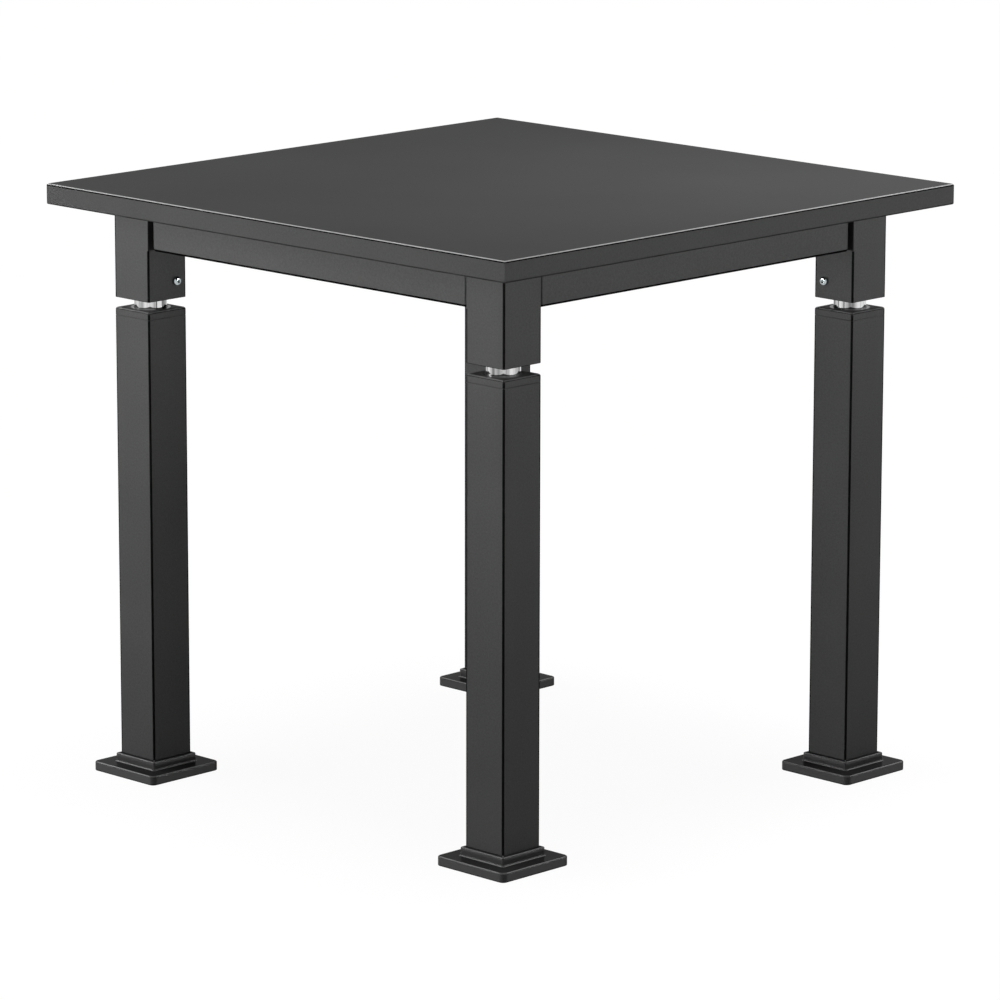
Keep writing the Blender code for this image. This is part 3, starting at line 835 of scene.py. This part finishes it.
def worktop_resin():
    """Phenolic resin board, pressed against a matt plate: even, dark and without gloss."""
    f = finishes()
    material, tree, shader, place = surface("Phenolic resin board, matt pressed", Specular_IOR_Level=0.0)
    press = add(tree, "ShaderNodeTexNoise", {"Vector": place, "Scale": grains(PRESS_MARK), "Detail": 2.0})
    cloud = add(tree, "ShaderNodeTexNoise", {"Vector": place, "Scale": grains(CLOUD), "Detail": 2.0})
    patterns = {MIX_FIRST: press.outputs["Fac"], MIX_SECOND: cloud.outputs["Fac"]}
    both = add(tree, "ShaderNodeMix", {MIX_SHARE: CLOUD_SHARE, **patterns})
    tint = add(tree, "ShaderNodeValToRGB", {"Fac": both.outputs[0]})
    set_tones(tint, NOISE_SPAN, shaded(f.top, 1 - BOARD_TONE_SWING), shaded(f.top, 1 + BOARD_TONE_SWING))
    swing = around(f.top_gloss, BOARD_GLOSS_SWING)
    gloss = add(tree, "ShaderNodeMapRange", {"Value": cloud.outputs["Fac"], **swing})
    bump_inputs = {"Height": press.outputs["Fac"], "Strength": 0.15, "Distance": FINE_RELIEF}
    bump = add(tree, "ShaderNodeBump", bump_inputs)
    wire(tree, shader, Base_Color=tint, Roughness=gloss, Normal=bump)
    return material


def moulded(name, tone, level):
    """Black ABS from a polished mould, with a slight ripple."""
    roughness = finishes().plastic_gloss
    material, tree, shader, place = surface(name, Specular_IOR_Level=level)
    ripple_inputs = {"Vector": place, "Scale": grains(MOULD_RIPPLE), "Detail": 1.0}
    ripple = add(tree, "ShaderNodeTexNoise", ripple_inputs)
    tint = add(tree, "ShaderNodeValToRGB", {"Fac": ripple.outputs["Fac"]})
    set_tones(tint, WHOLE_SPAN, shaded(tone, 1 - MOULD_TONE_SWING), shaded(tone, 1 + MOULD_TONE_SWING))
    swing = around(roughness, roughness * GLOSS_SHARE)
    gloss = add(tree, "ShaderNodeMapRange", {"Value": ripple.outputs["Fac"], **swing})
    bump_inputs = {"Height": ripple.outputs["Fac"], "Strength": 0.05, "Distance": RIPPLE_RELIEF}
    bump = add(tree, "ShaderNodeBump", bump_inputs)
    wire(tree, shader, Base_Color=tint, Roughness=gloss, Normal=bump)
    return material


def foot_plastic():
    """ABS from a polished mould: dark, with a clear mirror of the floor in the feet's sides."""
    return moulded("ABS, gloss moulded", finishes().plastic, level=0.2)


def foot_painted_shade():
    """The same moulding, nearly black and hardly a mirror: painted shade on the level faces, the lower
    edges and beside the leg.
    """
    return moulded("ABS, gloss moulded, painted shade", finishes().foot_top, level=0.004)


def foot_corner_shade():
    """The same moulding on its round corners, hardly a mirror and so darker to the eye: painted shade."""
    return moulded("ABS, gloss moulded, painted shade on corners", finishes().foot_corner, level=0.02)


def foot_rim_highlight():
    """The moulding's rounded rims in a pale tone: painted highlights as fine light lines."""
    return moulded("ABS, gloss moulded, painted highlight on rims", finishes().rim, level=0.5)


def collar_top_painted_reflection():
    """The top of the collars, lightened grey as a painted reflection of the chrome tube, and a mirror
    only at a low angle.
    """
    return moulded("ABS, gloss moulded, top lightened as painted reflection", finishes().collar, level=0.001)


def collar_ring_plastic():
    """The collar round its bore, polished by the chrome tube's wiper: it mirrors the tube. Its tone is
    the collar top's, lightened as painted reflection.
    """
    return moulded("ABS, gloss moulded and polished", finishes().collar, level=0.05)


def painted_collar_highlight():
    """The collar's top edge in a pale tone: a painted highlight as a fine light line."""
    return moulded("ABS, gloss moulded, painted highlight on the edge", finishes().collar_highlight_tone, level=0.1)


def metal(name, tone, roughness, line, along, spread):
    """A metal with streaks, their millimetres across and along Z, and how far they darken it: tool marks
    on most metals, painted reflections on the chrome.
    """
    material, tree, shader, place = surface(name, Metallic=1.0)
    spacing = (grains(line), grains(line), grains(along))
    marks = add(tree, "ShaderNodeMapping", {"Vector": place, "Scale": spacing})
    streak_inputs = {"Vector": marks.outputs["Vector"], "Scale": 1.0, "Detail": 2.0}
    streak = add(tree, "ShaderNodeTexNoise", streak_inputs)
    tint = add(tree, "ShaderNodeValToRGB", {"Fac": streak.outputs["Fac"]})
    set_tones(tint, STREAK_SPAN, shaded(tone, 1 - spread), shaded(tone, 1))
    swing = around(roughness, roughness * GLOSS_SHARE)
    gloss = add(tree, "ShaderNodeMapRange", {"Value": streak.outputs["Fac"], **swing})
    wire(tree, shader, Base_Color=tint, Roughness=gloss)
    return material


def chrome_plate():
    """Hard chrome on a drawn tube: a clear mirror, with light and dark streaks along the tube that are
    painted reflections.
    """
    name = "Hard chrome, polished, with painted reflection streaks"
    return metal(name, finishes().chrome, roughness=0.05, line=7, along=400, spread=0.75)


def zinc_plate():
    """Bright zinc on steel, barrel plated: a bluish, slightly soft shine."""
    name = "Bright zinc on steel, barrel plated"
    return metal(name, finishes().zinc, roughness=0.1, line=1.2, along=1.2, spread=0.25)


def cast_aluminium():
    """Sand-cast aluminium: a grey, grainy skin."""
    name = "Aluminium, sand cast"
    return metal(name, finishes().aluminium, roughness=0.45, line=1.5, along=1.5, spread=0.3)


def drawn_steel():
    """Cold-drawn steel: a dull shine lined along the bar."""
    name = "Steel, cold drawn"
    return metal(name, finishes().steel, roughness=0.35, line=0.8, along=60, spread=0.25)


def mottled(name, tone, roughness, spot):
    """An even skin with spots of that size in millimetres."""
    material, tree, shader, place = surface(name, Roughness=roughness)
    mottle = add(tree, "ShaderNodeTexNoise", {"Vector": place, "Scale": grains(spot), "Detail": 3.0})
    tint = add(tree, "ShaderNodeValToRGB", {"Fac": mottle.outputs["Fac"]})
    set_tones(tint, WHOLE_SPAN, shaded(tone, 1 - MOTTLE_SHADE), shaded(tone, 1))
    bump_inputs = {"Height": mottle.outputs["Fac"], "Strength": 0.1, "Distance": FINE_RELIEF}
    bump = add(tree, "ShaderNodeBump", bump_inputs)
    wire(tree, shader, Base_Color=tint, Normal=bump)
    return material


def acetal():
    """Natural acetal, injection moulded: a waxy off-white."""
    return mottled("Acetal, injection moulded", finishes().acetal, roughness=0.4, spot=4)


def motor_enamel():
    """Black stoving enamel on a pressed housing: a satin skin."""
    return mottled("Stoving enamel, sprayed", finishes().enamel, roughness=0.45, spot=2.5)


MADE = {}


def finish(make):
    """The material that a function makes, made at its first use."""
    known = MADE.get(make)
    if known is None:
        known = MADE[make] = make()
    return known


# Operators that make the pieces

class TABLE_OT_worktop(bpy.types.Operator):
    """Make the worktop slab"""

    bl_idname = "table.make_worktop"
    bl_label = "Worktop"

    def execute(self, context):
        makers = (worktop_resin, edge_band, painted_arris_highlight, painted_arris_shade, band_lip)
        piece("worktop_slab", slab_shape(), [finish(make) for make in makers], "worktop")
        return {"FINISHED"}


class TABLE_OT_aprons(bpy.types.Operator):
    """Make the four folded aprons under the worktop"""

    bl_idname = "table.make_aprons"
    bl_label = "Aprons"

    def execute(self, context):
        for side, quarter in SIDES.items():
            low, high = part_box(f"apron_{side}")
            span = high - low
            width, depth = (span.y, span.x) if quarter % 2 else (span.x, span.y)
            bm = apron_shape(width, depth, span.z)
            turn = Matrix.Translation((low + high) / 2) @ Matrix.Rotation(quarter * QUARTER, 4, "Z")
            bmesh.ops.transform(bm, matrix=turn, verts=bm.verts)
            piece(f"apron_rail_{side}", bm, [finish(powder_coat), finish(painted_fold_shade)], f"apron_{side}")
        return {"FINISHED"}


class TABLE_OT_posts(bpy.types.Operator):
    """Make the upper posts"""

    bl_idname = "table.make_posts"
    bl_label = "Posts"

    def execute(self, context):
        at_each_corner("post_sleeve", post_shape, [finish(powder_coat), finish(painted_edge_shade)], "upper_post")
        return {"FINISHED"}


class TABLE_OT_screws(bpy.types.Operator):
    """Make the domed screws on the posts' inner faces"""

    bl_idname = "table.make_screws"
    bl_label = "Screws"

    def execute(self, context):
        low, high = corner_box("post_screw_1")
        underside = high.x - sizes().screw_head
        middle = (low + high) / 2
        seats = {
            "1": Matrix.Translation((underside, middle.y, middle.z)) @ Matrix.Rotation(QUARTER, 4, "Y"),
            "2": Matrix.Translation((middle.y, underside, middle.z)) @ Matrix.Rotation(-QUARTER, 4, "X"),
        }
        for number, seat in seats.items():
            make = functools.partial(seated_screw, seat, underside - low.x)
            at_each_corner(f"button_screw_{number}", make, [finish(zinc_plate)], f"post_screw_{number}")
        return {"FINISHED"}


class TABLE_OT_columns(bpy.types.Operator):
    """Make the chrome tubes that slide in the legs"""

    bl_idname = "table.make_columns"
    bl_label = "Chrome columns"

    def execute(self, context):
        at_each_corner("chrome_column", column_shape, [finish(chrome_plate)], "inner_tube")
        return {"FINISHED"}


class TABLE_OT_legs(bpy.types.Operator):
    """Make the lower leg tubes"""

    bl_idname = "table.make_legs"
    bl_label = "Legs"

    def execute(self, context):
        at_each_corner("leg_sleeve", leg_shape, [finish(powder_coat), finish(painted_edge_shade)], "lower_leg")
        return {"FINISHED"}


class TABLE_OT_collars(bpy.types.Operator):
    """Make the moulded collars on the legs"""

    bl_idname = "table.make_collars"
    bl_label = "Collars"

    def execute(self, context):
        makers = (powder_coat, painted_edge_shade, collar_top_painted_reflection, painted_collar_highlight, collar_ring_plastic)
        at_each_corner("leg_collar", collar_shape, [finish(make) for make in makers], "leg_cap")
        return {"FINISHED"}


class TABLE_OT_feet(bpy.types.Operator):
    """Make the flanged feet"""

    bl_idname = "table.make_feet"
    bl_label = "Feet"

    def execute(self, context):
        makers = (foot_painted_shade, foot_plastic, foot_rim_highlight, foot_corner_shade)
        at_each_corner("flanged_foot", foot_shape, [finish(make) for make in makers], "foot")
        return {"FINISHED"}


class TABLE_OT_drive(bpy.types.Operator):
    """Finish the drive pieces inside the legs"""

    bl_idname = "table.finish_drive"
    bl_label = "Drive"

    def execute(self, context):
        inside = {
            "column_head": cast_aluminium,
            "glide_ring": acetal,
            "drive_motor": motor_enamel,
            "spindle": drawn_steel,
            "spindle_nut": acetal,
            "push_tube": drawn_steel,
        }
        for name, make in inside.items():
            for corner in CORNERS:
                mesh = frame["nodes"][f"{name}_{corner}"].data
                mesh.materials.clear()
                mesh.materials.append(finish(make))
        return {"FINISHED"}


# Stage

SENSOR_WIDTH = 36


def view_axes(settings):
    """The picture's right and up directions, and the direction back to the camera."""
    back = Vector((
        math.sin(settings.azimuth) * math.cos(settings.elevation),
        -math.cos(settings.azimuth) * math.cos(settings.elevation),
        math.sin(settings.elevation),
    ))
    right = Vector((math.cos(settings.azimuth), math.sin(settings.azimuth), 0))
    up = back.cross(right)
    tilt = Matrix.Rotation(settings.roll, 3, back)
    return tilt @ right, tilt @ up, back


def make_camera(settings):
    """The camera, placed from the middle of the worktop's surface."""
    right, up, back = view_axes(settings)
    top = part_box("worktop")[1].z
    place = Vector((0, 0, top)) - right * settings.offset - up * settings.drop + back * settings.distance
    data = bpy.data.cameras.new("Camera")
    data.sensor_width = SENSOR_WIDTH
    data.lens = settings.lens
    camera = bpy.data.objects.new("Camera", data)
    axes = Matrix((right, up, back)).transposed().to_4x4()
    camera.matrix_world = Matrix.Translation(place) @ axes
    bpy.context.scene.collection.objects.link(camera)
    bpy.context.scene.camera = camera


def seen_directly(tree):
    """One for rays from the camera, or mirrored or refracted; zero for rays that only carry light."""
    rays = add(tree, "ShaderNodeLightPath").outputs
    near_inputs = {0: rays["Is Camera Ray"], 1: rays["Is Glossy Ray"]}
    near = add(tree, "ShaderNodeMath", near_inputs, operation="MAXIMUM")
    seen_inputs = {0: near.outputs[0], 1: rays["Is Transmission Ray"]}
    seen = add(tree, "ShaderNodeMath", seen_inputs, operation="MAXIMUM")
    return seen.outputs[0]


WHITE = (1.0, 1.0, 1.0)


def make_world(settings):
    """White where it is seen, and a low even light otherwise."""
    world = bpy.data.worlds.new("Studio")
    world.use_nodes = True
    bpy.context.scene.world = world
    tree = world.node_tree
    background = tree.nodes["Background"]
    background.inputs["Color"].default_value = shaded(WHITE, 1)
    strength_inputs = {"Value": seen_directly(tree), "To Min": settings.ambient, "To Max": 1.0}
    strength = add(tree, "ShaderNodeMapRange", strength_inputs)
    tree.links.new(strength.outputs["Result"], background.inputs["Strength"])


# The floor lies a little under the feet, so that the two never share a plane
FLOOR_DROP = 0.0002
FLOOR_RADIUS = 40.0
FLOOR_STEPS = 64
FLOOR_GLOW = 0.955
FLOOR_PAINT = 0.05
FLOOR_BOUNCE = 0.10


def make_floor():
    """A white floor in the picture, which keeps a pale shadow and throws little light back up."""
    bm = bmesh.new()
    bmesh.ops.create_circle(bm, cap_ends=True, segments=FLOOR_STEPS, radius=FLOOR_RADIUS)
    bmesh.ops.translate(bm, verts=bm.verts, vec=(0, 0, -FLOOR_DROP))
    mesh = bpy.data.meshes.new("studio_floor")
    bm.to_mesh(mesh)
    bm.free()
    material = bpy.data.materials.new("Matt white studio paint, rolled")
    material.use_nodes = True
    tree = material.node_tree
    tree.nodes.remove(tree.nodes["Principled BSDF"])
    glow = add(tree, "ShaderNodeEmission", {"Color": shaded(WHITE, 1), "Strength": FLOOR_GLOW})
    paint = add(tree, "ShaderNodeBsdfDiffuse", {"Color": shaded(WHITE, FLOOR_PAINT)})
    bounce = add(tree, "ShaderNodeBsdfDiffuse", {"Color": shaded(WHITE, FLOOR_BOUNCE)})
    picture = add(tree, "ShaderNodeAddShader", {0: glow.outputs[0], 1: paint.outputs[0]})
    mixed_inputs = {0: seen_directly(tree), 1: bounce.outputs[0], 2: picture.outputs[0]}
    mixed = add(tree, "ShaderNodeMixShader", mixed_inputs)
    tree.links.new(mixed.outputs[0], tree.nodes["Material Output"].inputs["Surface"])
    mesh.materials.append(material)
    floor = bpy.data.objects.new("studio_floor", mesh)
    bpy.context.scene.collection.objects.link(floor)


class Softbox(typing.NamedTuple):
    """A soft lamp beside the table, in degrees, metres and watts.

    Its turn from the camera, its distance and height, the height that it aims at, its width, how tall
    it is, its beam's spread and its power.
    """

    turn: float
    distance: float
    height: float
    aim: float
    width: float
    tall: float
    spread: float
    power: float


SOFTBOXES = {
    "Left flood": Softbox(
        turn=-77, distance=4, height=0.5, aim=0.85, width=2.0, tall=0.8, spread=50, power=7.8
    ),
    "Left fade": Softbox(
        turn=-82, distance=4, height=0.45, aim=0.95, width=1.6, tall=0.8, spread=24, power=1.1
    ),
    "Left top": Softbox(
        turn=-95, distance=4, height=1.7, aim=0.7, width=1.4, tall=0.6, spread=40, power=2.1
    ),
    "Right flood": Softbox(
        turn=85, distance=7, height=0.5, aim=0.85, width=2.4, tall=0.8, spread=28, power=3.0
    ),
    "Right fade": Softbox(
        turn=85, distance=7, height=0.45, aim=0.95, width=2.4, tall=0.8, spread=14, power=2.1
    ),
}


def hang(name, data, place, facing):
    """Puts a lamp in the studio, out of the camera's sight."""
    lamp = bpy.data.objects.new(name, data)
    lamp.matrix_world = Matrix.Translation(place) @ facing.to_matrix().to_4x4()
    lamp.visible_camera = False
    bpy.context.scene.collection.objects.link(lamp)


def light_sides(azimuth):
    """Soft lamps at both sides, which reach under the worktop and are strongest near the legs' tops."""
    for name, box in SOFTBOXES.items():
        data = bpy.data.lights.new(name, "AREA")
        data.shape = "RECTANGLE"
        data.size = box.width
        data.size_y = box.tall
        data.spread = math.radians(box.spread)
        data.energy = box.power
        angle = azimuth + math.radians(box.turn)
        place = Vector((math.sin(angle) * box.distance, -math.cos(angle) * box.distance, box.height))
        hang(name, data, place, (place - Vector((0, 0, box.aim))).to_track_quat("Z", "Y"))


CEILING_HEIGHT = 3.0
CEILING_ANGLE = math.radians(30)
CEILING_STRENGTH = 2.9
SPOT_PLACE = Vector((0.33, 0.33, 2.23))
SPOT_WIDTH = 0.25
SPOT_SPREAD = math.radians(48)
SPOT_POWER = 0.68


def light_top():
    """Even light from the ceiling, and a soft spot over the worktop's back right corner."""
    ceiling = bpy.data.lights.new("Ceiling", "SUN")
    ceiling.angle = CEILING_ANGLE
    ceiling.energy = CEILING_STRENGTH
    spot = bpy.data.lights.new("Corner spot", "AREA")
    spot.shape = "DISK"
    spot.size = SPOT_WIDTH
    spot.spread = SPOT_SPREAD
    spot.energy = SPOT_POWER
    for data, place in ((ceiling, Vector((0, 0, CEILING_HEIGHT))), (spot, SPOT_PLACE)):
        hang(data.name, data, place, Quaternion())


class TABLE_OT_stage(bpy.types.Operator):
    """Make the floor, the lamps and the camera"""

    bl_idname = "table.make_stage"
    bl_label = "Stage"

    def execute(self, context):
        settings = context.scene.table_stage
        context.scene.view_settings.view_transform = "Standard"
        make_world(settings)
        make_floor()
        light_sides(settings.azimuth)
        light_top()
        make_camera(settings)
        return {"FINISHED"}


# Panel and registration

OPERATORS = (
    TABLE_OT_worktop,
    TABLE_OT_aprons,
    TABLE_OT_posts,
    TABLE_OT_screws,
    TABLE_OT_columns,
    TABLE_OT_legs,
    TABLE_OT_collars,
    TABLE_OT_feet,
    TABLE_OT_drive,
    TABLE_OT_stage,
)
GROUPS = {"table_sizes": TableSizes, "table_finishes": TableFinishes, "table_stage": StageSettings}


class TABLE_PT_pieces(bpy.types.Panel):
    """The table's pieces, sizes and finishes"""

    bl_idname = "TABLE_PT_pieces"
    bl_label = "Laboratory Table"
    bl_space_type = "VIEW_3D"
    bl_region_type = "UI"
    bl_category = "Table"

    def draw(self, context):
        for made in OPERATORS:
            self.layout.operator(made.bl_idname)
        for name, group in GROUPS.items():
            box = self.layout.box()
            for setting in group.__annotations__:
                box.prop(getattr(context.scene, name), setting)


CLASSES = (*GROUPS.values(), *OPERATORS, TABLE_PT_pieces)


def register():
    """Makes the classes and the settings known to Blender."""
    for made in CLASSES:
        bpy.utils.register_class(made)
    for name, group in GROUPS.items():
        setattr(bpy.types.Scene, name, bpy.props.PointerProperty(type=group))


def unregister():
    """Takes the settings and the classes out of Blender again."""
    for name in GROUPS:
        delattr(bpy.types.Scene, name)
    for made in reversed(CLASSES):
        bpy.utils.unregister_class(made)


def main():
    """Makes every piece and the stage."""
    register()
    for made in OPERATORS:
        group, name = made.bl_idname.split(".")
        getattr(getattr(bpy.ops, group), name)()


if __name__ == "__main__":
    main()
